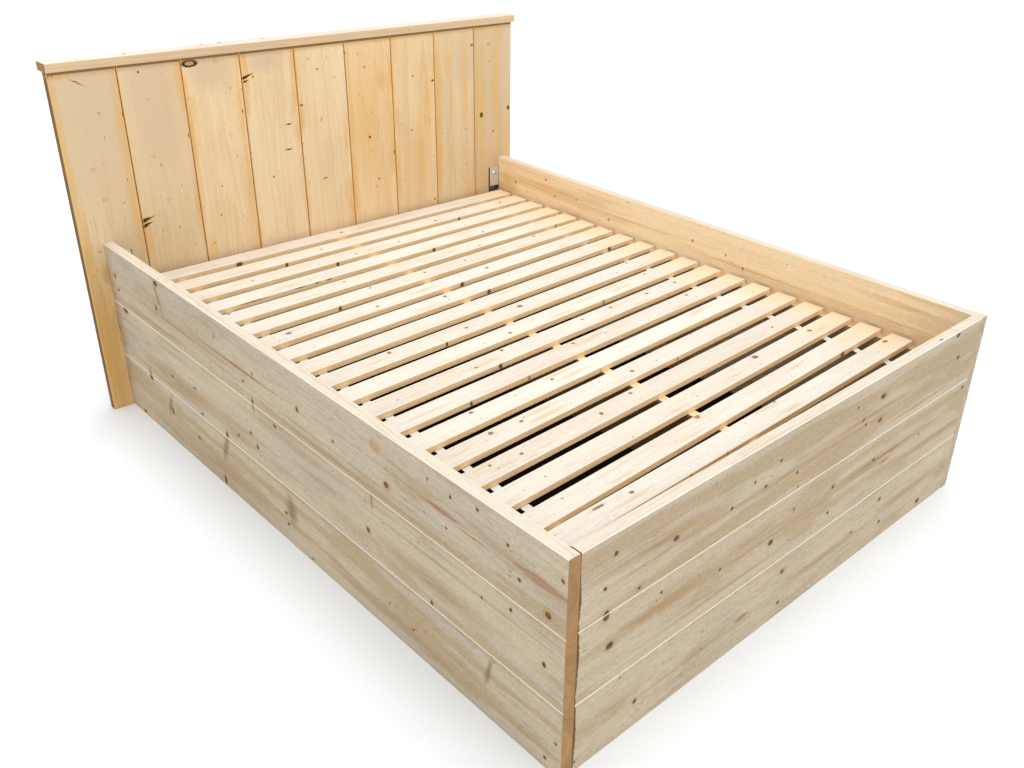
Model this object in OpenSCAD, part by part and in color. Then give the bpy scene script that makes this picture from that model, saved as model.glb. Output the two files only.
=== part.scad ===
// Scaffold wood bed: a box of boards on edge, an upright board headboard,
// and a loose roll of slats that lies on two ledges and a centre rail.
// X runs across the bed, Y from foot to head, Z up from the floor.
// The origin is on the floor under the middle of the whole bed.

/* [Scaffold boards] */
// Width of a scaffold board
board_w = 195; // [185:1:230]
// Thickness of a scaffold board
board_t = 31; // [28:1:36]
// Size of the eased edges of every board
edge_ease = 1.6; // [0.5:0.1:3]

/* [Bed box] */
// Clear width between the side panels, for the mattress
inner_w = 1620; // [1200:10:1840]
// Clear length between foot panel and headboard
inner_l = 2104; // [1900:10:2240]
// How far the slat tops lie below the top edge of the box
deck_drop = 135; // [110:1:145]
// Open joint between the foot boards and the left side panel
foot_joint = 1.5; // [0:0.1:4]

/* [Headboard] */
// Length of the upright boards
head_h = 1120; // [1000:10:1300]
// How far the headboard reaches past the box on the left
head_over_l = 67; // [20:1:100]
// How far the headboard reaches past the box on the right
head_over_r = 36; // [20:1:100]
// Joint between two upright boards
head_joint = 2.5; // [1:0.5:5]
// How much narrower each upright board is than its left neighbour
board_step = 1.1; // [0:0.1:2]
// Thickness of the cap
cap_t = 26; // [20:1:32]
// How far the cap stands proud of the boards in front
cap_over_f = 2; // [0:0.5:8]
// How far the cap stands proud of the battens behind
cap_over_b = 2; // [1:0.5:8]
// How far the cap reaches past the boards on the right
cap_over_r = 16; // [2:1:40]
// Thickness of the battens behind the headboard and on the side panels
batten_t = 31; // [26:1:38]
// Width of those battens
batten_w = 95; // [80:1:120]
// How far the headboard battens stop short of the outer board edges
batten_inset = 40; // [30:1:50]
// Height of the middle of the lowest headboard batten
batten_low_z = 130; // [110:5:200]

/* [Supports] */
// Section of the square corner posts
post_w = 60; // [45:1:75]
// Width of the ledges under the slat ends
ledge_w = 35; // [28:1:40]
// Height of the ledges
ledge_h = 60; // [45:1:75]
// How far the centre rail lies to the left of the middle
rail_shift = 30; // [0:1:60]
// Play of the centre rail in its notches, each side
rail_play = 0.4; // [0.2:0.1:1]

/* [Slat roll] */
// Width of a slat
slat_w = 70; // [55:1:80]
// Thickness of a slat
slat_t = 18; // [15:0.5:22]
// Size of the eased edges of a slat
slat_ease = 1.2; // [0.4:0.1:2]
// Clearance between a slat end and the side panel
slat_end_gap = 13; // [8:1:20]
// Clearance between the first slat and the headboard
roll_head_gap = 24; // [16:1:34]
// Clearance between the last slat and the foot panel
roll_foot_gap = 41; // [10:1:60]
// How much closer each of the last two slats lies to the one before it
foot_crowd = 10; // [0:1:12]
// Angle by which the middle slats lie out of square
lay_angle = 2.2; // [0:0.1:2.3]
// Width of the straps that join the slats
strap_w = 25; // [20:1:40]
// Thickness of the straps
strap_t = 1.2; // [1:0.1:2]
// Distance of a strap's middle from the slat ends
strap_inset = 154; // [100:1:220]

/* [Steel plates] */
// Width of a plate
plate_w = 50; // [46:1:60]
// Height of a plate
plate_h = 104; // [90:1:130]
// Thickness of a plate
plate_t = 4; // [3:0.5:5]
// How far a plate's lower end lies below the slat tops
plate_drop = 7; // [2:1:10]
// Gap between a plate and the side panel
plate_gap = 1; // [0.5:0.5:4]
// Distance of the bolt from the plate's top end
plate_bolt_drop = 27; // [20:1:35]
// Width of the slot near the plate's lower end
slot_w = 38; // [30:1:40]
// Height of that slot
slot_h = 18; // [12:1:20]
// Distance of the slot from the plate's lower end
slot_lift = 4; // [3:0.5:8]
// Depth of the mortise behind the slot
mortise_d = 24; // [15:1:25]
// Diameter of the bolts
bolt_d = 8; // [6:1:10]
// Diameter of a bolt's domed head
bolt_head_d = 20; // [16:1:22]
// Height of that head
bolt_head_h = 5; // [3:0.5:6]
// Diameter of the washers
washer_d = 24; // [20:1:28]
// Thickness of the washers
washer_t = 1.6; // [1:0.1:2.5]
// Width of the hexagon nuts across flats
nut_af = 13; // [11:1:17]
// Thickness of the nuts
nut_t = 6.5; // [5:0.5:8]

/* [Screws] */
// Diameter of a screw's shank
screw_d = 5; // [4:0.5:6]
// Diameter of a screw's countersunk head
screw_head_d = 9.6; // [8:0.1:11]
// How far every screw reaches into the board behind
screw_bite = 19; // [14:1:22]

/* [Hidden] */
$fn = 48;
HEAD_BOARDS = 9;
PANEL_BOARDS = 3;
SLATS = 20;
CROWDED_SLATS = 2;
LEDGE_SCREWS = 6;
fit_play = 0.1;      // clearance round screws and bolts
cut_past = 1;        // how far a cutting solid runs past a face
screw_tip = 7;       // length of a screw's point
screw_tip_r = 0.5;   // radius of its blunt end
post_screw_off = 8;  // crossing screws in a post keep this far from its board's middle line
head_screw_share = 0.15; // shift of a headboard screw off the board's middle, by board width
batten_screw_off = 40;
cradle_screw_off = 60;
ledge_screw_drop = 15;
plate_corner = 5;
slot_corner = 4;
bolt_past_nut = 2;
lay_head_run = 6;    // number of slats over which the roll swings out of square at the head
slat_clear = 7;      // smallest gap between the ends of two slats at the foot

box_w = inner_w + 2 * board_t;
box_h = PANEL_BOARDS * board_w;
head_w = box_w + head_over_l + head_over_r;
mean_board_w = (head_w - (HEAD_BOARDS - 1) * head_joint) / HEAD_BOARDS;
cap_l = head_w + cap_over_r;
cap_d = cap_over_f + board_t + batten_t + cap_over_b;
total_d = board_t + inner_l - cap_over_f + cap_d;

head_x = -cap_l / 2;                 // left edge of the headboard
box_x = head_x + head_over_l;        // outer face of the left side panel
in_x0 = box_x + board_t;             // inner faces of the box
in_x1 = in_x0 + inner_w;
foot_y = -total_d / 2;               // front face of the foot panel
in_y0 = foot_y + board_t;
head_y = in_y0 + inner_l;            // front face of the headboard
batten_y = head_y + board_t;         // front face of the headboard battens
back_y = batten_y + batten_t;        // back face of the headboard battens
mid_x = (in_x0 + in_x1) / 2;
mid_y = (in_y0 + head_y) / 2;

deck_z = box_h - deck_drop;          // slat tops
seat_z = deck_z - slat_t;            // slat undersides, top of ledges, rail and posts
ledge_z = seat_z - ledge_h;
rail_x = mid_x - rail_shift;         // middle of the centre rail

slat_l = inner_w - 2 * slat_end_gap;
roll_l = inner_l - roll_head_gap - roll_foot_gap;
slat_pitch = (roll_l - slat_w + CROWDED_SLATS * foot_crowd) / (SLATS - 1);
slat_y0 = head_y - roll_head_gap - slat_w / 2;
lay_step = asin(max(0, slat_pitch - foot_crowd - slat_w - slat_clear) / (slat_l / 2));

plate_z = deck_z - plate_drop;
bolt_z = plate_z + plate_h - plate_bolt_drop;
slot_z = plate_z + slot_lift + slot_h / 2;
plate_x = [in_x0 + plate_gap + plate_w / 2, in_x1 - plate_gap - plate_w / 2];
nut_pocket_d = washer_d + 2;
nut_pocket = washer_t + nut_t + bolt_past_nut + cut_past;
batten_rows = [batten_low_z, bolt_z, head_h - batten_w / 2];

// Turns that point a screw, modelled head up along Z, into the wood
TO_RIGHT = [0, -90, 0];
TO_LEFT = [0, 90, 0];
TO_HEAD = [90, 0, 0];
TO_FOOT = [-90, 0, 0];
DOWN = [0, 0, 0];

// Width, left edge and middle of upright board i, counted from 0 at the left
function head_board_w(i) = mean_board_w + ((HEAD_BOARDS - 1) / 2 - i) * board_step;
function head_board_x(i) =
    head_x + i * (mean_board_w + head_joint) + i * (HEAD_BOARDS - i) / 2 * board_step;
function head_board_mid(i) = head_board_x(i) + head_board_w(i) / 2;

// Height of the screws in panel board k at a post or cradle
function panel_screw_z(k) =
    k < PANEL_BOARDS - 1 ? (k + 0.5) * board_w : ((PANEL_BOARDS - 1) * board_w + seat_z) / 2;

// Middle of slat i, counted from 0 at the head
function slat_y(i) = slat_y0 - i * slat_pitch + max(0, i + 1 + CROWDED_SLATS - SLATS) * foot_crowd;
// How far slat i lies out of square: square at both ends, skewed between them
function lay(i) = min(lay_angle, i * lay_angle / lay_head_run, (SLATS - 1 - i) * lay_step);

// Place across the bed of the batten screws in upright board i, away from the steel plates
function head_screw_x(i) =
    let (near = i < HEAD_BOARDS / 2 ? plate_x[0] : plate_x[1],
         shift = head_screw_share * head_board_w(i))
    head_board_mid(i) + (near > head_board_mid(i) ? -shift : shift);

// Screws are lists of [place of the head, turn, length]
function head_row_screws(row, boards) =
    [for (i = boards)
        [[head_screw_x(i), back_y, batten_rows[row]], TO_FOOT, batten_t + screw_bite]];
function cap_screws(boards) =
    [for (i = boards) if (i % 2 == 0)
        [[head_board_mid(i), head_y + board_t / 2, head_h + cap_t], DOWN, cap_t + screw_bite]];

// left and foot are true for the posts at that side and end
function post_side_screws(left, foot) =
    [for (k = [0 : PANEL_BOARDS - 1]) [
        [left ? in_x0 + post_w : in_x1 - post_w,
         foot ? in_y0 + post_w / 2 : head_y - post_w / 2,
         panel_screw_z(k) + post_screw_off],
        left ? TO_LEFT : TO_RIGHT, post_w + screw_bite]];
function post_end_screws(left, foot) =
    [for (k = [0 : PANEL_BOARDS - 1]) [
        [left ? in_x0 + post_w / 2 : in_x1 - post_w / 2,
         foot ? in_y0 + post_w : head_y - post_w,
         panel_screw_z(k) - post_screw_off],
        foot ? TO_FOOT : TO_HEAD, post_w + screw_bite]];
function batten_screws(left) =
    [for (k = [0, 1]) for (s = [-1, 1]) [
        [left ? in_x0 + batten_t : in_x1 - batten_t, mid_y,
         panel_screw_z(k) + s * batten_screw_off],
        left ? TO_LEFT : TO_RIGHT, batten_t + screw_bite]];
function ledge_screws(left) =
    let (run = inner_l - 2 * post_w)
    [for (i = [0 : LEDGE_SCREWS - 1]) [
        [left ? in_x0 + ledge_w : in_x1 - ledge_w,
         in_y0 + post_w + (i + 0.5) * run / LEDGE_SCREWS,
         seat_z - ledge_screw_drop],
        left ? TO_LEFT : TO_RIGHT, ledge_w + screw_bite]];
function cradle_screws(foot) =
    [for (k = [0 : PANEL_BOARDS - 1]) for (s = [-1, 1]) [
        [rail_x + s * cradle_screw_off, foot ? in_y0 + board_t : head_y - board_t,
         panel_screw_z(k)],
        foot ? TO_FOOT : TO_HEAD, board_t + screw_bite]];

// Whether something at x, reaching that far to each side, meets upright board i
function meets(i, x, reach) = abs(x - head_board_mid(i)) < head_board_w(i) / 2 + reach;
// Screws that come from the bed box into upright board i
function box_screws(i) =
    [for (s = concat(post_end_screws(true, false), post_end_screws(false, false),
                     cradle_screws(false)))
        if (meets(i, s[0].x, screw_head_d)) s];

// Rectangle with eased corners, its lower left corner at the origin
module eased(w, h, e) {
    polygon([[e, 0], [w - e, 0], [w, e], [w, h - e], [w - e, h], [e, h], [0, h - e], [0, e]]);
}

// Bars with eased long edges, from a corner and the sizes along X, Y and Z
module bar_x(at, size, e = edge_ease) {
    translate(at) rotate([90, 0, 90]) linear_extrude(size.x) eased(size.y, size.z, e);
}
module bar_y(at, size, e = edge_ease) {
    translate(at + [0, size.y, 0]) rotate([90, 0, 0]) linear_extrude(size.y) eased(size.x, size.z, e);
}
module bar_z(at, size, e = edge_ease) {
    translate(at) linear_extrude(size.z) eased(size.x, size.y, e);
}

// Countersunk wood screw, grown by play for its hole and run past the head by past
module screw(l, play = 0, past = 0) {
    head_r = screw_head_d / 2 + play;
    shank_r = screw_d / 2 + play;
    cone = screw_head_d / 2 - screw_d / 2;
    rotate_extrude() polygon([
        [0, past], [head_r, past], [head_r, 0], [shank_r, -cone],
        [shank_r, -l + screw_tip], [screw_tip_r, -l - play], [0, -l - play]]);
}
module screws(list) {
    for (s = list) translate(s[0]) rotate(s[1]) screw(s[2]);
}
module screw_holes(list) {
    for (s = list) translate(s[0]) rotate(s[1]) screw(s[2], fit_play, cut_past);
}

// Cylinder along Y from the plane y, towards the head
module rod_y(x, y, z, d, l) {
    translate([x, y, z]) rotate([-90, 0, 0]) cylinder(d = d, h = l);
}

// Upright rounded slot or plate outline, pushed through along Y
module rounded_y(x, y, z, w, h, r, l) {
    translate([x, y + l, z]) rotate([90, 0, 0]) linear_extrude(l)
        union() {
            square([w - 2 * r, h], center = true);
            square([w, h - 2 * r], center = true);
            for (sx = [-1, 1]) for (sz = [-1, 1])
                translate([sx * (w / 2 - r), sz * (h / 2 - r)]) circle(r);
        }
}

// Hole for a bolt through the upright boards and the middle batten
module bolt_hole(x) {
    rod_y(x, head_y - cut_past, bolt_z, bolt_d + 2 * fit_play, board_t + batten_t + 2 * cut_past);
}

module headboard_board(i) {
    color("burlywood") difference() {
        bar_z([head_board_x(i), head_y, 0], [head_board_w(i), board_t, head_h]);
        screw_holes([for (row = [0 : 2]) for (s = head_row_screws(row, [i])) s]);
        screw_holes(cap_screws([i]));
        screw_holes(box_screws(i));
        for (x = plate_x) if (meets(i, x, slot_w / 2)) {
            bolt_hole(x);
            rounded_y(x, head_y - cut_past, slot_z, slot_w, slot_h, slot_corner,
                      mortise_d + cut_past);
        }
    }
}
module headboard_cap() {
    color("wheat") difference() {
        bar_x([head_x, head_y - cap_over_f, head_h], [cap_l, cap_d, cap_t]);
        screw_holes(cap_screws([0 : HEAD_BOARDS - 1]));
    }
}
module headboard_batten(row) {
    color("tan") difference() {
        bar_x([head_x + batten_inset, batten_y, batten_rows[row] - batten_w / 2],
              [head_w - 2 * batten_inset, batten_t, batten_w]);
        screw_holes(head_row_screws(row, [0 : HEAD_BOARDS - 1]));
        if (row == 1) for (x = plate_x) {
            bolt_hole(x);
            rod_y(x, back_y - nut_pocket, bolt_z, nut_pocket_d, nut_pocket + cut_past);
        }
    }
}

// Side panel board k, counted from 0 at the floor
module side_board(left, k) {
    color("wheat") difference() {
        bar_y([left ? box_x : in_x1, foot_y, k * board_w], [board_t, board_t + inner_l, board_w]);
        screw_holes([for (foot = [true, false]) for (s = post_side_screws(left, foot)) s]);
        screw_holes(batten_screws(left));
        screw_holes(ledge_screws(left));
    }
}
module foot_board(k) {
    color("wheat") difference() {
        bar_x([in_x0 + foot_joint, foot_y, k * board_w], [inner_w - foot_joint, board_t, board_w]);
        screw_holes([for (left = [true, false]) for (s = post_end_screws(left, true)) s]);
        screw_holes(cradle_screws(true));
    }
}
module corner_post(left, foot) {
    color("tan") difference() {
        bar_z([left ? in_x0 : in_x1 - post_w, foot ? in_y0 : head_y - post_w, 0],
              [post_w, post_w, seat_z]);
        screw_holes(post_side_screws(left, foot));
        screw_holes(post_end_screws(left, foot));
    }
}
module side_batten(left) {
    color("tan") difference() {
        bar_z([left ? in_x0 : in_x1 - batten_t, mid_y - batten_w / 2, 0],
              [batten_t, batten_w, ledge_z]);
        screw_holes(batten_screws(left));
    }
}
module ledge(left) {
    color("tan") difference() {
        bar_y([left ? in_x0 : in_x1 - ledge_w, in_y0 + post_w, ledge_z],
              [ledge_w, inner_l - 2 * post_w, ledge_h]);
        screw_holes(ledge_screws(left));
    }
}
module centre_rail() {
    color("burlywood")
        bar_y([rail_x - board_t / 2, in_y0, seat_z - board_w], [board_t, inner_l, board_w]);
}
module rail_cradle(foot) {
    notch = board_t + 2 * rail_play;
    color("tan") difference() {
        bar_z([rail_x - board_w / 2, foot ? in_y0 : head_y - board_t, 0],
              [board_w, board_t, seat_z]);
        translate([rail_x - notch / 2, (foot ? in_y0 : head_y - board_t) - cut_past, seat_z - board_w])
            cube([notch, board_t + 2 * cut_past, board_w + cut_past]);
        screw_holes(cradle_screws(foot));
    }
}
module slat(i) {
    color("cornsilk")
        translate([mid_x, slat_y(i), seat_z]) rotate(lay(i))
            bar_x([-slat_l / 2, -slat_w / 2, 0], [slat_l, slat_w, slat_t], slat_ease);
}
module strap(side) {
    color("whitesmoke")
        translate([mid_x + side * (slat_l / 2 - strap_inset) - strap_w / 2,
                   in_y0 + roll_foot_gap, seat_z - strap_t])
            cube([strap_w, roll_l, strap_t]);
}
module steel_plates() {
    color("silver") for (x = plate_x) difference() {
        rounded_y(x, head_y - plate_t, plate_z + plate_h / 2, plate_w, plate_h, plate_corner, plate_t);
        rod_y(x, head_y - plate_t - cut_past, bolt_z, bolt_d + 2 * fit_play, plate_t + 2 * cut_past);
        rounded_y(x, head_y - plate_t - cut_past, slot_z, slot_w, slot_h, slot_corner,
                  plate_t + 2 * cut_past);
    }
}
module plate_bolts() {
    dome_r = (bolt_head_d * bolt_head_d / 4 + bolt_head_h * bolt_head_h) / (2 * bolt_head_h);
    shank_l = plate_t + board_t + batten_t - cut_past;
    color("silver") for (x = plate_x) union() {
        rod_y(x, head_y - plate_t, bolt_z, bolt_d, shank_l);
        intersection() {
            translate([x, head_y - plate_t - bolt_head_h + dome_r, bolt_z]) sphere(dome_r);
            rod_y(x, head_y - plate_t - bolt_head_h, bolt_z, bolt_head_d, bolt_head_h);
        }
    }
}
module plate_nuts() {
    bore = bolt_d + 2 * fit_play;
    washer_y = back_y - nut_pocket;
    color("gray") for (x = plate_x) {
        difference() {
            rod_y(x, washer_y, bolt_z, washer_d, washer_t);
            rod_y(x, washer_y - cut_past, bolt_z, bore, washer_t + 2 * cut_past);
        }
        difference() {
            translate([x, washer_y + washer_t, bolt_z]) rotate([-90, 0, 0])
                cylinder(d = nut_af / cos(30), h = nut_t, $fn = 6);
            rod_y(x, washer_y, bolt_z, bore, washer_t + nut_t + cut_past);
        }
    }
}
module headboard_screws() {
    color("goldenrod") {
        for (row = [0 : 2]) screws(head_row_screws(row, [0 : HEAD_BOARDS - 1]));
        screws(cap_screws([0 : HEAD_BOARDS - 1]));
    }
}
module frame_screws() {
    color("goldenrod") {
        for (foot = [true, false]) screws(cradle_screws(foot));
        for (left = [true, false]) {
            screws(batten_screws(left));
            screws(ledge_screws(left));
            for (foot = [true, false]) {
                screws(post_side_screws(left, foot));
                screws(post_end_screws(left, foot));
            }
        }
    }
}

headboard_board(0);  // headboard_board_1
headboard_board(1);  // headboard_board_2
headboard_board(2);  // headboard_board_3
headboard_board(3);  // headboard_board_4
headboard_board(4);  // headboard_board_5
headboard_board(5);  // headboard_board_6
headboard_board(6);  // headboard_board_7
headboard_board(7);  // headboard_board_8
headboard_board(8);  // headboard_board_9
headboard_cap();
headboard_batten(0);  // headboard_batten_bottom
headboard_batten(1);  // headboard_batten_middle
headboard_batten(2);  // headboard_batten_top
side_board(true, 0);  // left_board_bottom
side_board(true, 1);  // left_board_middle
side_board(true, 2);  // left_board_top
side_board(false, 0);  // right_board_bottom
side_board(false, 1);  // right_board_middle
side_board(false, 2);  // right_board_top
foot_board(0);  // foot_board_bottom
foot_board(1);  // foot_board_middle
foot_board(2);  // foot_board_top
corner_post(true, true);  // post_foot_left
corner_post(false, true);  // post_foot_right
corner_post(true, false);  // post_head_left
corner_post(false, false);  // post_head_right
side_batten(true);  // left_batten
side_batten(false);  // right_batten
ledge(true);  // left_ledge
ledge(false);  // right_ledge
centre_rail();
rail_cradle(true);  // rail_cradle_foot
rail_cradle(false);  // rail_cradle_head
slat(0);  // slat_01
slat(1);  // slat_02
slat(2);  // slat_03
slat(3);  // slat_04
slat(4);  // slat_05
slat(5);  // slat_06
slat(6);  // slat_07
slat(7);  // slat_08
slat(8);  // slat_09
slat(9);  // slat_10
slat(10);  // slat_11
slat(11);  // slat_12
slat(12);  // slat_13
slat(13);  // slat_14
slat(14);  // slat_15
slat(15);  // slat_16
slat(16);  // slat_17
slat(17);  // slat_18
slat(18);  // slat_19
slat(19);  // slat_20
strap(-1);  // strap_left
strap(1);  // strap_right
steel_plates();
plate_bolts();
plate_nuts();
headboard_screws();
frame_screws();
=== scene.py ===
"""Looks of a scaffold wood bed, laid out as an add-on and run as a script.

Every board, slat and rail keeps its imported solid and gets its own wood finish, with the
growth rings, fibres and knots of that one board. The woven straps under the slats and the
screws, with their cross recesses, are modelled here in place of the plain solids. Lengths
are metres unless a name ends in _MM or _mm, and the bed stands on z = 0, its foot towards -Y.
"""
import math
import random

import bpy
from bpy.props import FloatProperty, FloatVectorProperty, PointerProperty
from mathutils import Matrix, Vector


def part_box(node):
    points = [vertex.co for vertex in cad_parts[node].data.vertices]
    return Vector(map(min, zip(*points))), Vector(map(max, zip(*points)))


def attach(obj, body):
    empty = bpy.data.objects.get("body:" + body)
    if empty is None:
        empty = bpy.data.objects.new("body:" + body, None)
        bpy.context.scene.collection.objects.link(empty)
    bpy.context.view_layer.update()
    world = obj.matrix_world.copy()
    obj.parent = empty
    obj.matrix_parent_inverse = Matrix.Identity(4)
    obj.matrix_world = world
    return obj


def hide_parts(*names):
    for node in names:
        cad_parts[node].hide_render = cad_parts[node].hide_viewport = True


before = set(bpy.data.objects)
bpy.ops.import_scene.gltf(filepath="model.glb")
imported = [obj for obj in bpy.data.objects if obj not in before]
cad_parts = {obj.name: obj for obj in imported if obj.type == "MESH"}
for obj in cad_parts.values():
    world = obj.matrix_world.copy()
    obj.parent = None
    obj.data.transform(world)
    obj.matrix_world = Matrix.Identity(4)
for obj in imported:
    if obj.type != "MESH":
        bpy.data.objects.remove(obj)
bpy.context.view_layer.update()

bl_info = {
    "name": "Scaffold wood bed",
    "version": (1, 0, 0),
    "blender": (4, 5, 0),
    "location": "View3D > Sidebar > Bed",
    "description": "Finishes the boards, slats, straps and steel of a scaffold wood bed",
    "category": "Object",
}

MM = 0.001
PANEL_ROWS = ("bottom", "middle", "top")
SLATS = 20
PLATE_WIDTH_MM = 50
# Width of the painted shade round a plate, and how high the painted shade at its lower end goes
PLATE_RIM_MM = 3
SLOT_TOP = 0.024
# Distance between two rows of a strap's points
STRAP_STEP = 0.0087
# Half width and half height of a knot on the front edge of a slat
EDGE_KNOT_WIDTH, EDGE_KNOT_HEIGHT = 0.003, 0.010
# Paler wood along an arris: sanded, with a painted highlight where the edge catches light
SANDED_HIGHLIGHT_TONE = (1.0, 0.97, 0.90)
# Sockets of a node that mixes two colours
MIX_SHARE, MIX_FIRST, MIX_SECOND, MIX_RESULT = 0, 6, 7, 2
SENSOR_WIDTH_MM = 36.0
FLOOR_SIZE = 120.0
FLOOR_DROP = 0.0005
# Numbers that start the random draws of each group of pieces
HEADBOARD_SEED, BOX_SEED, SUPPORT_SEED, SLAT_SEED, SCREW_SEED = 11, 23, 37, 41, 53

# Axes of a board in the bed: along the grain, across the broad face, through the thickness
UPRIGHT = (Vector((0, 0, 1)), Vector((1, 0, 0)), Vector((0, 1, 0)))
LENGTHWISE = (Vector((0, 1, 0)), Vector((0, 0, 1)), Vector((1, 0, 0)))
CROSSWISE = (Vector((1, 0, 0)), Vector((0, 0, 1)), Vector((0, -1, 0)))
LYING = (Vector((1, 0, 0)), Vector((0, 1, 0)), Vector((0, 0, 1)))

# Marks of each panel as (place along the panel, height, half length along the grain, half
# width across it), and where a mark leans, how far along the grain it moves for each step
# across. Knots, spikes, rims and eyes are knots of four kinds, resin is a red-brown streak,
# smears are dark ones, and gaps are painted shade in the gaps at the ends of the panels.
HEADBOARD_MARKS_MM = {
    "dull": [
        (-800, 1000, 330, 110), (-600, 1010, 260, 100), (-400, 1080, 90, 100),
        (-200, 1090, 60, 95), (640, 1000, 120, 60), (860, 900, 260, 50),
    ],
    "stains": [
        # The wide stain low at the far left, at (-870, 230), is partly stain and partly painted
        # shade
        (-893, 830, 260, 15), (-886, 560, 160, 22), (-870, 230, 330, 66), (-714, 900, 150, 18),
        (-712, 690, 180, 20), (-688, 560, 90, 16), (-497, 640, 170, 12), (-470, 480, 60, 22),
        (-312, 930, 140, 20), (-310, 700, 210, 17), (-300, 500, 70, 14), (-96, 560, 160, 11),
        (116, 780, 340, 16), (308, 600, 130, 18), (302, 900, 130, 9), (180, 840, 260, 62),
        (250, 965, 50, 44), (420, 640, 210, 26), (452, 850, 170, 22), (640, 900, 210, 18),
        (722, 800, 270, 20), (806, 850, 290, 20), (-868, 1106, 18, 36), (-290, 1110, 11, 60),
        (290, 1110, 10, 70), (560, 1000, 60, 24),
    ],
    "smears": [(-872, 200, 400, 70), (-840, 480, 60, 30)],
    "eyes": [
        (-378, 1102, 8, 8), (-486, 995, 5, 8), (-820, 821, 6, 7), (-632, 830, 4, 8),
        (-801, 722, 5, 8), (-601, 683, 5, 6), (-15, 646, 5, 8), (612, 622, 10, 7),
        (-358, 858, 8, 5), (-339, 1010, 4, 5), (-860, 500, 6, 9), (-785, 835, 5, 5),
    ],
    "rims": [(-468, 1102, 10, 25)],
    "spikes": [
        (-694, 629, 8, 44, 0.26), (-692, 612, 8, 30, 0.34), (-288, 1037, 6, 40, 0.34),
        (-286, 1024, 4, 16, 0.30), (-140, 862, 3, 14, 0.05), (-150, 775, 3, 18, -0.05),
        (-820, 1085, 2, 28, -0.6), (-12, 646, 2, 14, 0.0),
    ],
    "knots": [
        (-12, 1035, 3, 3), (-84, 920, 3, 6), (188, 765, 4, 5), (381, 762, 3, 4), (182, 1021, 3, 3),
        (486, 937, 4, 6), (682, 1050, 4, 7), (765, 1045, 3, 4), (728, 772, 10, 8),
        (870, 782, 8, 7), (790, 696, 4, 3), (218, 601, 3, 4), (-218, 689, 3, 2), (-430, 592, 3, 2),
        (-412, 692, 2, 2), (-634, 1095, 3, 3), (-897, 1110, 3, 3), (-885, 1112, 2, 2),
        (-9, 864, 3, 2), (481, 468, 3, 5), (-702, 976, 7, 2), (394, 964, 3, 4), (-504, 880, 6, 2),
        (-306, 930, 7, 2), (295, 690, 7, 2), (104, 1078, 5, 3), (691, 1000, 6, 2),
        (-256, 1037, 5, 2),
    ],
}
# How far each headboard board goes from the plain tone to the golden one
HEADBOARD_GOLD = (0.10, 0.0, 0.05, 0.0, 0.05, 0.50, 0.40, 0.25, 0.45)
# How light each headboard board is
HEADBOARD_LIGHT = (0.80, 0.89, 1.0, 0.98, 0.98, 1.0, 0.96, 0.87, 0.79)
# How light the outer edge on the left is, next to the edges at the joints
OUTER_EDGE_SHADE = 0.26
LEFT_MARKS_MM = {
    "stains": [
        (735, 410, 240, 12), (540, 462, 460, 18), (-400, 406, 500, 9), (585, 262, 340, 30),
        (735, 224, 310, 16), (235, 274, 200, 12), (-665, 268, 220, 28), (-700, 335, 420, 6),
        (-150, 187, 900, 9), (510, 55, 540, 40), (-560, 50, 420, 15), (1015, 300, 25, 300),
    ],
    "smears": [
        (833, 195, 10, 24, -0.3), (703, 137, 15, 48, -0.44), (330, 155, 16, 60, -0.41),
        (-35, 122, 32, 54, 0.0), (-865, 140, 11, 50, -0.25), (365, 18, 9, 16, 0.0),
        (118, 384, 8, 28, 0.0), (-440, 368, 5, 34, 0.0), (660, 520, 14, 60, 0.35),
    ],
    "gaps": [(1035, 480, 4, 110), (1035, 290, 5, 120), (1035, 100, 5, 120)],
    "resin": [(-712, 488, 100, 9), (-1018, 489, 120, 12), (-820, 476, 60, 3), (185, 478, 240, 6)],
    "eyes": [
        (-469, 536, 16, 14), (-510, 446, 12, 9), (800, 318, 12, 6), (450, 476, 8, 5),
        (-1045, 421, 12, 11),
    ],
    "knots": [
        (660, 567, 12, 8), (686, 480, 6, 9), (983, 490, 5, 8), (976, 444, 6, 5), (303, 526, 3, 4),
        (100, 491, 4, 4), (160, 445, 4, 4), (-125, 480, 6, 7), (-287, 463, 4, 4),
        (-507, 448, 8, 7), (-834, 556, 4, 4), (-928, 521, 4, 4), (-728, 451, 3, 3),
        (-963, 455, 4, 4), (-665, 545, 3, 3), (-1085, 528, 4, 5), (948, 382, 14, 9),
        (6, 372, 6, 5), (118, 396, 4, 12), (153, 284, 6, 5), (122, 253, 6, 7), (233, 241, 5, 5),
        (-417, 273, 7, 7), (-938, 362, 4, 5), (-1040, 287, 5, 6), (-665, 207, 4, 6),
        (648, 262, 7, 5), (492, 284, 10, 3), (825, 190, 9, 12), (310, 207, 6, 9), (516, 102, 8, 5),
        (0, 98, 5, 4), (-8, 64, 5, 4), (367, 21, 6, 14), (-585, 71, 4, 4), (-1082, 96, 4, 4),
        (692, 118, 6, 12), (-1050, 30, 4, 4), (-490, 92, 3, 3), (940, 12, 9, 5), (-745, 540, 3, 4),
        (-845, 335, 3, 4), (465, 208, 7, 4), (-125, 12, 5, 3), (-1048, 421, 8, 7),
    ],
}
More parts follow.
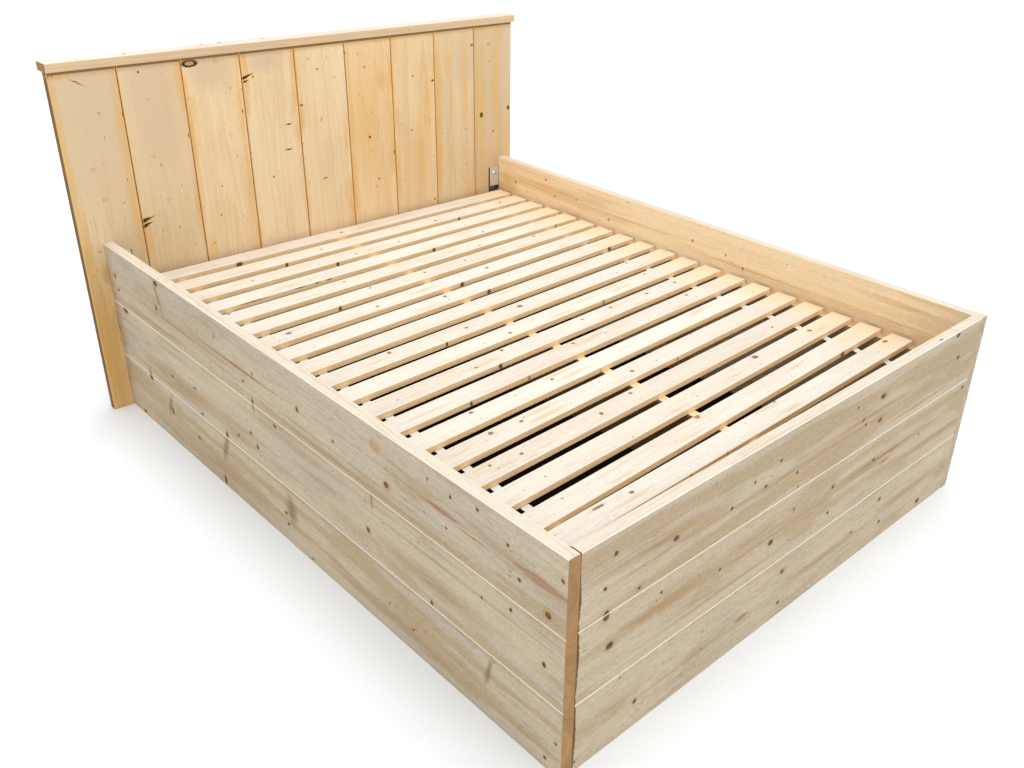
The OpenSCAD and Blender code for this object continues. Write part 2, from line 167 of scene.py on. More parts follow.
FOOT_MARKS_MM = {
    "stains": [
        (-600, 490, 240, 14), (-180, 459, 640, 8), (530, 414, 200, 5), (250, 480, 270, 8),
        (-555, 311, 280, 19), (280, 311, 460, 17), (0, 296, 520, 5), (-330, 232, 320, 8),
        (131, 90, 210, 14), (551, 106, 190, 18), (-400, 82, 210, 8), (780, 90, 60, 34),
        (640, 250, 220, 14),
    ],
    "resin": [(-226, 90, 34, 10), (372, 289, 40, 5), (360, 312, 180, 4)],
    "eyes": [(-64, 147, 13, 10), (-700, 299, 16, 10), (300, 520, 18, 10), (-430, 255, 14, 8)],
    "gaps": [(-800, 470, 5, 80), (-800, 320, 7, 130), (-800, 110, 7, 150)],
    "knots": [
        (-704, 534, 5, 5), (-518, 476, 9, 7), (-730, 460, 4, 4), (-626, 405, 5, 5),
        (-722, 386, 8, 12), (-550, 350, 4, 4), (-706, 299, 9, 8), (-344, 301, 4, 4),
        (-249, 496, 4, 4), (-152, 514, 4, 4), (-72, 445, 4, 4), (172, 531, 4, 4), (228, 461, 4, 4),
        (303, 446, 9, 6), (294, 520, 10, 7), (676, 575, 8, 6), (708, 495, 9, 6), (-60, 334, 4, 4),
        (-144, 276, 9, 7), (116, 320, 6, 5), (312, 319, 6, 5), (112, 241, 5, 5), (-68, 147, 7, 6),
        (398, 152, 7, 5), (266, 102, 5, 4), (-610, 77, 6, 6), (-64, 44, 5, 5), (426, 61, 6, 5),
        (658, 26, 10, 6), (-60, 400, 3, 3), (560, 300, 4, 4), (-795, 28, 4, 4), (792, 370, 6, 5),
        (-328, 462, 4, 4), (-203, 465, 5, 4), (212, 480, 4, 4),
    ],
}
# A knot on the foot panel's upper edge, as (x, how far outwards from the middle of the edge,
# half length, half width)
FOOT_EDGE_MM = [(591, 7, 13, 4)]
RIGHT_MARKS_MM = {
    "stains": [
        (-780, 480, 260, 8), (-300, 478, 340, 5), (300, 505, 300, 6), (720, 520, 330, 22),
        (-860, 540, 160, 12), (980, 480, 90, 60),
    ],
    "knots": [
        (-32, 514, 4, 4), (-182, 504, 3, 4), (-260, 477, 4, 5), (383, 483, 4, 4), (562, 515, 3, 4),
        (741, 553, 4, 3), (686, 498, 4, 4), (924, 501, 4, 4), (-620, 300, 6, 6), (120, 250, 7, 6),
        (820, 120, 6, 5), (-330, 90, 7, 7),
    ],
}
# The same for the slats seen from above, with y in place of the height
SLAT_MARKS_MM = {
    "knots": [
        (-2, 975, 6, 5), (351, 862, 6, 5), (688, 874, 6, 5), (-152, 870, 4, 4), (-479, 762, 5, 4),
        (-84, 754, 5, 4), (106, 762, 4, 4), (411, 649, 6, 4), (-662, 570, 5, 5), (-254, 565, 4, 4),
        (309, 547, 4, 4), (-219, 466, 4, 4), (-2, 460, 5, 4), (175, 463, 4, 4), (528, 492, 7, 5),
        (-594, 334, 8, 6), (-284, 328, 5, 4), (189, 360, 7, 5), (-74, 255, 7, 6), (-444, 37, 7, 6),
        (-171, 27, 6, 5), (60, 43, 9, 7), (598, 82, 5, 4), (-93, -86, 5, 5), (570, -30, 4, 4),
        (-189, -158, 6, 5), (141, -158, 5, 4), (276, -150, 6, 5), (448, -150, 5, 5),
        (594, -146, 6, 5), (-314, -195, 5, 4), (1, -260, 5, 5), (541, -243, 6, 5),
        (-483, -380, 6, 5), (-199, -383, 6, 5), (129, -448, 7, 4), (-510, -491, 7, 6),
        (-414, -497, 6, 5), (4, -494, 6, 5), (-606, -602, 5, 4), (-516, -612, 5, 4),
        (-231, -603, 5, 5), (-93, -578, 5, 4), (553, -578, 5, 4), (343, -668, 10, 8),
        (621, -668, 8, 6), (-56, -776, 11, 9), (-535, -888, 16, 4), (-435, -898, 6, 5),
        (733, -863, 9, 7), (163, -863, 5, 4),
    ],
}
# Knots that run over the front edge of a slat, by slat number, as (x, half length)
SLAT_EDGE_KNOTS_MM = {
    1: [(-432, 18)], 2: [(-312, 9), (448, 7)], 3: [(-174, 9)], 4: [(166, 9)], 6: [(-372, 9)],
    7: [(43, 12)], 8: [(73, 13), (669, 12)], 10: [(-276, 6)], 12: [(-246, 10)],
    13: [(-444, 7)], 18: [(573, 14)],
}
# Bark left on the front edge of a slat, as (x, height, half length, half height)
SLAT_BARK_MM = {4: [(-552, 6, 68, 3), (-386, 6, 32, 3), (-323, 5, 12, 3), (-275, 5, 18, 3)]}


def tone(name, description, default):
    """A colour that a user can change."""
    return FloatVectorProperty(name=name, description=description, default=default,
                               subtype="COLOR", min=0, max=1)


def length(name, description, default, low, high):
    """A length in metres that a user can change."""
    return FloatProperty(name=name, description=description, default=default,
                         subtype="DISTANCE", unit="LENGTH", min=low, max=high)


class BedWoodSettings(bpy.types.PropertyGroup):
    """Tones and grain of the wood"""
    headboard_tone: tone("Headboard", "Plain wood of the headboard boards", (0.81, 0.625, 0.388))
    golden_tone: tone("Golden", "Deeper wood of some headboard boards", (0.79, 0.545, 0.275))
    dull_tone: tone("Weathered", "Greyer patches near the top of the headboard",
                    (0.63, 0.480, 0.315))
    gold_stain: tone("Gold stain", "Orange patches beside the joints of the headboard",
                     (0.71, 0.415, 0.135))
    panel_tone: tone("Panels", "Plain wood of the outer faces of the box", (0.496, 0.411, 0.294))
    panel_band_tone: tone("Panel bands", "Brown bands of the outer faces", (0.365, 0.262, 0.145))
    panel_stain: tone("Panel stain", "Brown stains of the outer faces", (0.325, 0.205, 0.096))
    inner_tone: tone("Inner faces", "Plain wood of the inner faces of the box",
                     (0.98, 0.78, 0.510))
    slat_tone: tone("Slats", "Plain wood of the slats", (0.762, 0.695, 0.596))
    slat_stain: tone("Slat stain", "Tan streaks of the slats", (0.66, 0.46, 0.23))
    slat_side_tone: tone("Slat sides", "Narrow faces of the slats", (0.97, 0.70, 0.39))
    sawn_tone: tone("Sawn timber", "Wood of the posts, ledges, battens and cradles",
                    (0.70, 0.50, 0.30))
    rail_tone: tone("Centre rail", "Upper edge of the centre rail", (0.86, 0.70, 0.45))
    ochre_tone: tone("Ochre", "Warm brown in the bands and at board ends", (0.50, 0.25, 0.08))
    joint_tone: tone("Joints", "Dirt on the narrow faces of the headboard boards",
                     (0.62, 0.36, 0.145))
    band_share: FloatProperty(
        name="Band share", description="How far the bands of pale wood go towards ochre",
        subtype="FACTOR", default=0.25, min=0, max=1)
    resin_tone: tone("Resin", "Red-brown resin in long streaks", (0.30, 0.148, 0.062))
    edge_tone: tone("Planed edges", "Narrow upper faces of the panel boards", (0.69, 0.625, 0.515))
    end_tone: tone("End grain", "Cut ends of the boards", (0.335, 0.195, 0.088))
    cap_front_tone: tone("Cap front", "Front face of the cap", (0.650, 0.484, 0.308))
    knot_tone: tone("Knots", "Dark core of a knot", (0.090, 0.036, 0.012))
    ring_gap: length("Ring gap", "Distance between two growth rings", 0.0055, 0.001, 0.02)
    # The paler line is sanded wood with a painted highlight
    arris: length("Arris", "Width of the sanded, paler line along a board edge", 0.0027, 0, 0.01)


class BedMetalSettings(bpy.types.PropertyGroup):
    """Tones of the steel and the webbing"""
    plate_tone: tone("Plates", "Galvanised steel of the plates", (0.74, 0.72, 0.69))
    bolt_tone: tone("Bolts", "Bright zinc of the bolts and nuts", (0.78, 0.77, 0.75))
    screw_tone: tone("Screws", "Yellow zinc of the wood screws", (0.62, 0.47, 0.20))
    strap_tone: tone("Straps", "Woven tape under the slats", (0.78, 0.77, 0.74))
    strap_sag: length("Strap sag", "How far the straps hang down between two slats",
                      0.0026, 0, 0.006)
    recess_length: length("Recess length", "Length of each slot of a screw's cross recess",
                          0.0046, 0.001, 0.01)
    recess_width: length("Recess width", "Width of each slot of the recess", 0.0011, 0.0003, 0.003)
    recess_depth: length("Recess depth", "Depth of the recess", 0.0018, 0.0005, 0.003)


class BedStageSettings(bpy.types.PropertyGroup):
    """Camera, lamps and floor"""
    camera_place: FloatVectorProperty(
        name="Camera place", description="Where the camera stands",
        subtype="TRANSLATION", unit="LENGTH", default=(-1.87235, -2.11779, 1.73843))
    camera_turn: FloatVectorProperty(
        name="Camera turn", description="Turns of the camera about X, Y and Z",
        subtype="EULER", unit="ROTATION",
        default=(math.radians(62.2365), math.radians(-1.7070), math.radians(-43.7949)))
    focal_length: FloatProperty(
        name="Focal length", description="Focal length in millimetres on a 36 mm sensor",
        default=34.972, min=10, max=200)
    shift: FloatVectorProperty(
        name="Shift", description="Sideways and upright shift of the picture",
        size=2, default=(-0.0503, -0.0108))
    sky_strength: FloatProperty(
        name="Sky strength", description="Light from all round", default=0.85, min=0, max=5)
    broad_strength: FloatProperty(
        name="Broad light", description="Wide lamp above the camera's side",
        default=1.10, min=0, max=20)
    key_strength: FloatProperty(
        name="Key light", description="Narrower lamp overhead, for the shadow on the floor",
        default=1.0, min=0, max=20)
    # Painted shade: the dark floor inside the box
    under_bed_shade_tone: tone("Floor under the bed", "Dark floor inside the box", (0.020, 0.012, 0.007))
    floor_tone: tone("Floor", "Pale floor", (0.905, 0.93, 0.955))
    floor_seen: FloatProperty(
        name="Floor in the picture", description="How bright the camera sees the floor",
        subtype="FACTOR", default=0.90, min=0, max=1)


class Finish:
    """The nodes of one material, or of the sky, made and joined from Python."""

    def __init__(self, name, store=None):
        self.material = (bpy.data.materials if store is None else store).new(name)
        self.material.use_nodes = True
        self.tree = self.material.node_tree
        self.tree.nodes.clear()

    def node(self, kind, settings=None, inputs=(), output=0):
        """Adds a node, sets it up, and gives back one of its outputs."""
        made = self.tree.nodes.new(kind)
        for key, value in (settings or {}).items():
            setattr(made, key, value)
        for key, value in (inputs.items() if isinstance(inputs, dict) else enumerate(inputs)):
            if isinstance(value, Field):
                self.tree.links.new(value.socket, made.inputs[key])
            else:
                made.inputs[key].default_value = value
        return Field(self, made.outputs[output]) if len(made.outputs) else made

    def vector(self, operation, *inputs, output="Vector"):
        return self.node("ShaderNodeVectorMath", {"operation": operation}, inputs, output)

    def place(self):
        """Where a point lies on its piece."""
        return self.node("ShaderNodeTexCoord", output="Object")

    def split(self, vector, axes="XYZ"):
        """The parts of a vector along the named axes."""
        return [self.node("ShaderNodeSeparateXYZ", {}, (vector,), axis) for axis in axes]

    def mix(self, first, second, share, way="MIX"):
        """Colour that lies a share of the way from first to second."""
        return self.node(
            "ShaderNodeMix", {"data_type": "RGBA", "blend_type": way, "clamp_factor": True},
            {MIX_SHARE: share, MIX_FIRST: rgba(first), MIX_SECOND: rgba(second)}, MIX_RESULT)

    def fade(self, value, start, end):
        """Smooth step from 0 at start to 1 at end."""
        settings = {"interpolation_type": "SMOOTHSTEP", "clamp": True}
        return self.node("ShaderNodeMapRange", settings, (value, start, end, 0.0, 1.0))

    def noise(self, place, stretch, detail=2.0, roughness=0.5, output=0):
        """Noise on a place that is first multiplied by stretch."""
        vector = self.vector("MULTIPLY", place, stretch)
        return self.node("ShaderNodeTexNoise", {"noise_dimensions": "3D"},
                         {"Vector": vector, "Scale": 1.0, "Detail": detail,
                          "Roughness": roughness}, output)

    def tint(self, colour, share):
        """Colour made lighter or darker by a share."""
        grey = self.node("ShaderNodeCombineColor", {}, (share, share, share))
        return self.mix(colour, grey, 1.0, "MULTIPLY")

    def surface(self, values, height=None, bump_strength=0.3, bump_distance=0.0005):
        """Closes the material with a Principled shader."""
        inputs = dict(values)
        if height is not None:
            inputs["Normal"] = self.node(
                "ShaderNodeBump", {},
                {"Strength": bump_strength, "Distance": bump_distance, "Height": height})
        shader = self.node("ShaderNodeBsdfPrincipled", {}, inputs)
        self.node("ShaderNodeOutputMaterial", {}, {"Surface": shader})
        return self.material


class Field:
    """A socket that Python's arithmetic works on."""

    def __init__(self, finish, socket):
        self.finish, self.socket = finish, socket

    def math(self, operation, *inputs):
        return self.finish.node("ShaderNodeMath", {"operation": operation}, inputs)

    def __add__(self, other):
        return self.math("ADD", self, other)

    def __sub__(self, other):
        return self.math("SUBTRACT", self, other)

    def __rsub__(self, other):
        return self.math("SUBTRACT", other, self)

    def __mul__(self, other):
        return self.math("MULTIPLY", self, other)

    def __truediv__(self, other):
        return self.math("DIVIDE", self, other)

    __radd__, __rmul__ = __add__, __mul__

    def __abs__(self):
        return self.math("ABSOLUTE", self)

    def fract(self):
        return self.math("FRACT", self)

    def least(self, other):
        return self.math("MINIMUM", self, other)

    def most(self, other):
        return self.math("MAXIMUM", self, other)

    def swing(self, reach):
        """A noise moved from about a half to about zero, times a reach."""
        return (self - 0.5) * reach

    def sibling(self, output):
        """Another output of the same node."""
        return Field(self.finish, self.socket.node.outputs[output])

    def bell(self):
        """1 where the value is 0, falling off to both sides."""
        return self.math("EXPONENT", self * self * -1.0)


def rgba(colour):
    """A colour as four numbers; a field stays as it is."""
    return colour if isinstance(colour, Field) else (*colour[:3], 1.0)


def blend(first, second, share):
    """Colour that lies a share of the way from first to second."""
    return tuple((1 - share) * a + share * b for a, b in zip(first, second))


def shaded(colour, light):
    """Colour made lighter or darker by one number, or by one for each channel."""
    lights = light if isinstance(light, tuple) else (light,) * 3
    return tuple(min(1.0, k * c) for k, c in zip(lights, colour))


class Board:
    """Where one board lies: its middle, its axes and half its sizes along them."""

    # Kinds of marks that end at a joint, so that the next board doesn't get them too
    UNSHARED = ("spikes", "shades")

    def __init__(self, node, axes):
        points = [vertex.co.copy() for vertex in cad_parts[node].data.vertices]
        middle = sum(points, Vector()) / len(points)
        low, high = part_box(node)
        self.node = node
        self.middle = (low + high) / 2
        spread = [sum((p - middle)[a] * (p - middle)[b] for p in points)
                  for a, b in ((0, 0), (1, 1), (0, 1))]
        skew = 0.5 * math.atan2(2 * spread[2], spread[0] - spread[1]) if axes is LYING else 0.0
        turn = Matrix.Rotation(skew, 3, "Z")
        self.axes = [turn @ axis for axis in axes]
        self.half = [max(abs((p - self.middle).dot(axis)) for p in points) for axis in self.axes]

    def edge_at(self, x, side):
        """Where a lying board's long edge crosses x; side is 1 towards the head."""
        along, across = self.axes[0], self.axes[1]
        return (self.middle.y + (x - self.middle.x) * along.y / along.x
                + side * self.half[1] / across.y)

    def turn(self):
        """Euler angles that turn X, Y and Z onto the board's axes."""
        return Matrix(self.axes).transposed().to_euler()

    def marks(self, listed, first, second):
        """The listed marks of each kind that lie on this board, in its own axes."""
        return {kind: self.spots(spots, first, second, 0.0 if kind in self.UNSHARED else 1.0)
                for kind, spots in listed.items()}

    def spots(self, listed, first, second, reach):
        """Those of one kind; reach says how far past the edge a middle may lie, in its sizes."""
        own = []
        for place_1, place_2, long_mm, wide_mm, *lean in listed:
            place = self.middle.copy()
            place[first], place[second] = place_1 * MM, place_2 * MM
            offset = place - self.middle
            x, y = offset.dot(self.axes[0]), offset.dot(self.axes[1])
            near = reach * max(long_mm, wide_mm) * MM
            if abs(x) < self.half[0] + near and abs(y) < self.half[1] + near:
                own.append((x, y, long_mm * MM, wide_mm * MM, *lean))
        return own

    def edge_spots(self, listed):
        """Marks on a long narrow face, given from the middle of that face."""
        return [(x_mm * MM - self.middle.x, *(size * MM for size in sizes))
                for x_mm, *sizes in listed]

    def chance_spots(self, draw, count, smallest_mm, largest_mm, stretch=1.2):
        """Marks at places drawn at random, for boards whose own aren't seen."""
        own = []
        for _ in range(count):
            size = draw.uniform(smallest_mm, largest_mm) * MM
            own.append((draw.uniform(-0.95, 0.95) * self.half[0],
                        draw.uniform(-0.8, 0.8) * self.half[1], size * stretch, size))
        return own


def nearest(finish, place, spots, shape="round"):
    """Distance to the nearest spot, in that spot's own size."""
    closest = None
    for x, y, long, wide, *lean in spots:
        offset = finish.vector("SUBTRACT", place, (x, y, 0.0))
        if lean:
            along = finish.vector("DOT_PRODUCT", offset, (1.0, -lean[0], 0.0), output="Value")
            across = finish.vector("DOT_PRODUCT", offset, (0.0, 1.0, 0.0), output="Value")
            offset = finish.node("ShaderNodeCombineXYZ", {}, (along, across, 0.0))
        scaled = finish.vector("MULTIPLY", offset, (1 / long, 1 / wide, 0.0))
        if shape == "round":
            distance = finish.vector("LENGTH", scaled, output="Value")
        else:
            one, other = finish.split(finish.vector("ABSOLUTE", scaled), "XY")
            distance = one + other if shape == "lozenge" else one.most(other)
        closest = distance if closest is None else closest.least(distance)
    return closest


class Wood(Finish):
    """Finish of one board: growth rings, bands, fibres, knots, arrises and end grain.

    Rings and bands follow the distance from the pith of the tree, so they run along the
    board, close in arches on its broad face, bend round knots and curve on its ends.
    """

    # Outlines of the marks that aren't round, and how far the rings bend round a knot
    SHAPES = {"spikes": "lozenge", "resin": "lozenge", "gaps": "lozenge", "bark": "lozenge",
              "shades": "box"}
    BULGES = {"knots": 0.006, "rims": 0.010}
    # Noises in the wood: how dense along, across and through the board, detail and roughness
    NOISES = {
        "fibre": ((9.0, 450.0, 450.0), 3.0, 0.6),
        "streak": ((6.0, 140.0, 140.0), 4.0, 0.62),
        "dash": ((48.0, 300.0, 300.0), 2.0, 0.6),
        "blotch": ((2.4, 8.0, 8.0), 4.0, 0.60),
        "ripple": ((5.0, 18.0, 18.0), 2.0, 0.5),
        "mottle": ((110.0, 170.0, 170.0), 2.0, 0.6),
    }
    # How far the outline of a mark strays, along and across
    STRAY = Vector((0.007, 0.006, 0.0))
    # How far inside a narrow face and an end their own paint starts, and where it is full
    FLANK_SKIN = (0.0016, 0.0008)
    END_SKIN = (0.0009, 0.0004)

    def __init__(self, name, board, ground, draw, band=None, stain=None, **marks):
        super().__init__(name)
        self.settings = bpy.context.scene.bed_wood
        self.knot, self.ochre = self.settings.knot_tone, self.settings.ochre_tone
        self.ground = ground
        self.band = band or blend(ground, self.ochre, self.settings.band_share)
        self.stain = stain or blend(self.band, self.ochre, 0.2)
        self.half_long, self.half_wide, self.half_thick = board.half
        own = self.node("ShaderNodeMapping", {"vector_type": "TEXTURE"}, {
            "Vector": self.place(), "Location": board.middle, "Rotation": board.turn()})
        self.x, self.y, self.z = self.split(own)
        seed = Vector(draw.uniform(-30, 30) for _ in range(3))
        wander = self.noise(self.vector("ADD", own, seed), (1.8, 4.0, 4.0)).swing(0.03)
        across = self.y + self.x * draw.uniform(-0.022, 0.022) + wander
        bent = self.node("ShaderNodeCombineXYZ", {}, (self.x, across, self.z))
        self.grain = self.vector("ADD", bent, seed)
        for kind, noise in self.NOISES.items():
            setattr(self, kind, self.noise(self.grain, *noise))
        self.lines = self.fade(self.streak * 0.6 + self.fibre * 0.4, 0.45, 0.58)
        jitter = self.noise(self.grain, (90.0, 150.0, 150.0), 2.0, 0.5, "Color")
        jitter = self.vector("MULTIPLY_ADD", jitter, self.STRAY, -0.5 * self.STRAY)
        faces = {"bark": self.node("ShaderNodeCombineXYZ", {}, (self.x, self.z, 0.0))}
        self.near = {kind: nearest(self, self.vector("ADD", faces.get(kind, own), jitter), spots,
                                   self.SHAPES.get(kind, "round"))
                     for kind, spots in marks.items() if spots}

        pith = (0.0, draw.uniform(-0.6, 0.6) * self.half_wide, -draw.uniform(0.035, 0.09))
        radial = self.vector("MULTIPLY", self.vector("SUBTRACT", bent, pith), (0.0, 1.0, 1.0))
        taper = draw.choice((-1, 1)) * draw.uniform(0.006, 0.016)
        waver = self.noise(self.grain, (0.9, 5.0, 5.0), 1.0)
        depth = (self.vector("LENGTH", radial, output="Value") + self.x * taper
                 + waver * 0.040 + self.ripple * 0.006)
        for kind, bulge in self.BULGES.items():
            if kind in self.near:
                depth = depth + (self.near[kind] * 0.40).bell() * bulge
        ring = (depth / self.settings.ring_gap).fract()
        self.latewood = self.fade(ring, 0.30, 0.88) * (1.0 - self.fade(ring, 0.92, 1.0))
        self.broad = self.along_depth(depth, 26.0, seed.x)
        self.narrow = self.along_depth(depth, 130.0, seed.y)
        self.flank = self.skin(self.y, self.half_wide, self.FLANK_SKIN)
        self.colour = rgba(ground)

    def along_depth(self, depth, scale, seed):
        """Noise along one number, which gives lines that follow the rings."""
        return self.node("ShaderNodeTexNoise", {"noise_dimensions": "1D"},
                         {"W": depth * scale + seed, "Scale": 1.0, "Detail": 2.0})

    def skin(self, place, half, depths):
        """1 on the two faces at the ends of an axis, 0 inside."""
        start, full = depths
        return self.fade(abs(place), half - start, half - full)

    def paint(self, tone, share):
        """Lays a tone over the colour so far."""
        self.colour = self.mix(self.colour, tone, share)

    def patch(self, kind, tone, start, full, share, stray=None):
        """Lays a tone over the marks of one kind, from start to full in their own size."""
        if kind in self.near:
            near = self.near[kind] + stray if stray else self.near[kind]
            self.paint(tone, self.fade(near, start, full) * share)

    def paint_figure(self, late, bands, dullness, fine):
        """Bands, thin lines, pale patches, rings and fibres."""
        line = shaded(blend(self.band, self.ochre, 0.4), 0.75)
        wide_band = self.fade(self.broad + self.blotch.swing(1.2), 0.46, 0.68)
        self.thin = self.fade(self.narrow + self.ripple.swing(0.6), 0.50, 0.68)
        fleck = self.fade(self.streak, 0.52, 0.68)
        self.paint(self.band, wide_band * bands)
        self.paint(shaded(self.ground, (1.05, 1.08, 1.13)),
                   self.fade(self.broad + self.blotch.swing(1.0), 0.46, 0.30) * 0.6)
        if dullness:
            dull = self.fade(self.blotch, 0.42, 0.60) * (1.0 - wide_band) * dullness
            self.paint(shaded((1.06, 1.0, 0.90), 0.32 * sum(self.ground)), dull)
        self.paint(self.band, (self.thin * 0.45 + fleck * 0.6) * (0.35 + wide_band * 0.65) * bands)
        self.paint(line, self.latewood * (self.blotch + self.thin * 0.5) * late)
        hairs = self.fade(self.fibre, 0.54, 0.70) * (0.25 + wide_band * 0.75)
        self.paint(line, hairs * bands * fine * 0.5)
        rough = (self.fibre + self.streak + self.dash + self.mottle - 2.0) * (0.24 * fine)
        self.colour = self.tint(self.colour, 1.0 + rough)
        self.height = self.latewood * late * 0.5 + self.fibre * 0.45
        self.gloss = 0.70 - self.latewood * 0.05 + self.fibre.swing(0.10)

    def paint_joints(self, strength):
        """Stain along the long edges in patches, with dirt at the joint and brown ends."""
        to_edge = self.half_wide - abs(self.y)
        wide = self.fade(to_edge + self.ripple.swing(0.05) + self.streak.swing(0.02), 0.034, 0.0)
        self.paint(self.stain, wide * self.fade(self.blotch, 0.46, 0.60) * strength)
        tight = self.fade(to_edge + self.dash.swing(0.006), 0.0018, 0.0004)
        self.paint(self.settings.joint_tone, tight * self.fade(self.ripple, 0.34, 0.54) * strength)
        to_end = self.half_long - abs(self.x) + self.blotch.swing(0.02)
        self.paint(self.stain, self.fade(to_end, 0.016, 0.002) * strength)

    def paint_stains(self):
        """Stains, resin, the outlines of old knots, and golden patches of painted warm light."""
        near, settings = self.near, self.settings
        rough = self.blotch.swing(1.2)
        torn = rough + self.streak.swing(1.4)
        # Golden patches: painted warm light thrown back by the right panel onto the slat ends
        self.patch("gold", settings.headboard_tone, 1.25, 0.2, 0.75, rough)
        self.patch("dull", settings.dull_tone, 1.2, 0.3, 0.75, rough)
        self.patch("stains", self.stain, 1.25, 0.2,
                   0.25 + self.thin * 0.20 + self.lines * 0.50, torn)
        self.patch("smears", shaded(self.stain, 0.66), 1.2, 0.2, 0.75, torn)
        self.patch("resin", settings.resin_tone, 1.3, 0.7, 0.55 + self.lines * 0.4,
                   self.narrow.swing(0.8))
        self.patch("eyes", self.band, 1.8, 0.5, 0.5)
        if "eyes" in near:
            edge = ((near["eyes"] - 0.9) * 3.2).bell() * self.fade(self.ripple, 0.40, 0.62)
            self.paint(self.ochre, edge * 0.55)
            self.height = self.height - edge * 0.3
        self.patch("rims", self.band, 1.5, 0.8, 0.6)
        self.patch("rims", self.ochre, 0.95, 0.70, 0.35)
        if "rims" in near:
            edge = (((near["rims"] - 0.86) * 3.6).bell() * 1.35).least(1.0)
            self.paint(shaded(self.knot, 0.25), edge)
            self.height = self.height - edge * 0.8
        self.patch("rims", self.ochre, 0.52, 0.18, 0.75)

    def paint_knots(self, darkest):
        """Knots, gaps and the like, which also show on the narrow faces, and specks."""
        core = self.mix(blend(self.knot, self.ochre, 0.22), shaded(self.knot, 0.5),
                        self.fade(self.streak, 0.36, 0.54))
        # Painted shade round the steel plates and in their slots, on the front faces
        self.patch("shades", shaded(self.settings.joint_tone, 0.15), 1.02, 0.98,
                   self.fade(self.z, 0.0, -0.004) * 0.95)
        # Painted shade in the gaps at the ends of the panels
        self.patch("gaps", self.knot, 1.0, 0.6, 0.90)
        self.patch("spikes", self.stain, 1.8, 0.8, 0.6)
        self.patch("spikes", shaded(self.knot, 0.4), 1.05, 0.70, 0.96)
        self.patch("bark", core, 1.10, 0.70, self.flank * 0.85)
        self.patch("knots", self.stain, 2.3, 1.0, 0.40)
        if "knots" in self.near:
            body = self.fade(self.near["knots"] + self.ripple.swing(0.7), 1.18, 0.95)
            self.paint(core, body * darkest)
            self.height = self.height + body * 0.5
            self.gloss = self.gloss - body * 0.10
        cells = self.node("ShaderNodeTexVoronoi", {"voronoi_dimensions": "2D"},
                          {"Vector": self.vector("MULTIPLY", self.grain, (14.0, 30.0, 0.0)),
                           "Scale": 1.0}, "Distance")
        chosen = self.node("ShaderNodeSeparateColor", {}, (cells.sibling("Color"),), "Red")
        speck = self.fade(cells + self.dash.swing(0.06) - (chosen - 0.90) * 0.3, 0.055, 0.02)
        self.paint(blend(self.knot, self.ochre, 0.3),
                   speck * self.fade(chosen, 0.88, 0.90) * 0.7)

    def paint_shade_under_cap(self):
        """Painted shade under the cap: a dark line in the joint and a softer shade below it."""
        joint, from_top = self.settings.joint_tone, self.half_long - self.x
        self.paint(shaded(joint, 0.5),
                   self.fade(from_top + self.dash.swing(0.008), 0.026, 0.004) * 0.42)
        self.paint(shaded(joint, 0.25), self.fade(from_top, 0.009, 0.006) * 0.85)

    def paint_flanks(self, side):
        """The narrow faces, streaked and spotted with ochre."""
        streaked = self.mix(side, blend(side, self.ochre, 0.4), self.thin * 0.6)
        spotted = self.fade(self.streak + self.dash.swing(0.6), 0.60, 0.74)
        streaked = self.mix(streaked, blend(side, self.ochre, 0.8), spotted * 0.6)
        rough = (self.fibre + self.streak + self.dash - 1.5) * 0.22
        self.paint(self.tint(streaked, 1.0 + rough), self.flank)

    def paint_edges(self, arris_tone, end_tone):
        """Arrises, sanded and with a painted highlight where pale, and end grain."""
        arris = self.settings.arris
        edge = (self.half_wide - abs(self.y)) + (self.half_thick - abs(self.z))
        worn = edge + self.streak.swing(0.0012)
        # Where the arris tone is pale, it is sanded wood with a painted highlight
        self.paint(arris_tone, self.fade(worn, arris, arris * 0.5) * 0.80)
        end = self.skin(self.x, self.half_long, self.END_SKIN)
        saw = self.noise(self.grain, (30.0, 60.0, 700.0), 2.0)
        rings = self.mix(shaded(end_tone, 1.12), shaded(end_tone, 0.58),
                         self.latewood * 0.40 + saw.swing(0.9) + self.dash * 0.25)
        self.paint(self.tint(rings, 0.70 + self.broad * 0.6), end)
        self.gloss = self.gloss + end * 0.15
        self.height = self.height + end * saw * 0.6


def dress(node, material):
    """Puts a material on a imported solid."""
    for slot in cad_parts[node].material_slots:
        slot.material = material


def clad(board, name, ground, draw, band=None, stain=None, late=0.20, bands=0.5, dullness=0.0,
         fine=1.0, joints=0.0, side=None, arris_tone=None, end=None, darkest=0.96, **marks):
    """Gives a board its wood, painted from the ground tone up to the edges.

    late, bands, dullness, fine and joints say how strong the rings, the bands, the dull
    patches, the fibres and the dirt at the joints are, and darkest how dark the knots are.
    """
    finish = Wood(name, board, ground, draw, band, stain, **marks)
    finish.paint_figure(late, bands, dullness, fine)
    if joints:
        finish.paint_joints(joints)
    finish.paint_stains()
    if side:
        finish.paint_flanks(side)
    finish.paint_knots(darkest)
    if joints:
        # Painted shade under the cap
        finish.paint_shade_under_cap()
    finish.paint_edges(arris_tone or blend(ground, SANDED_HIGHLIGHT_TONE, 0.15),
                       end or finish.settings.end_tone)
    dress(board.node, finish.surface(
        {"Base Color": finish.colour, "Roughness": finish.gloss, "IOR": 1.45,
         "Specular IOR Level": 0.04}, finish.height, bump_strength=0.40, bump_distance=0.0006))


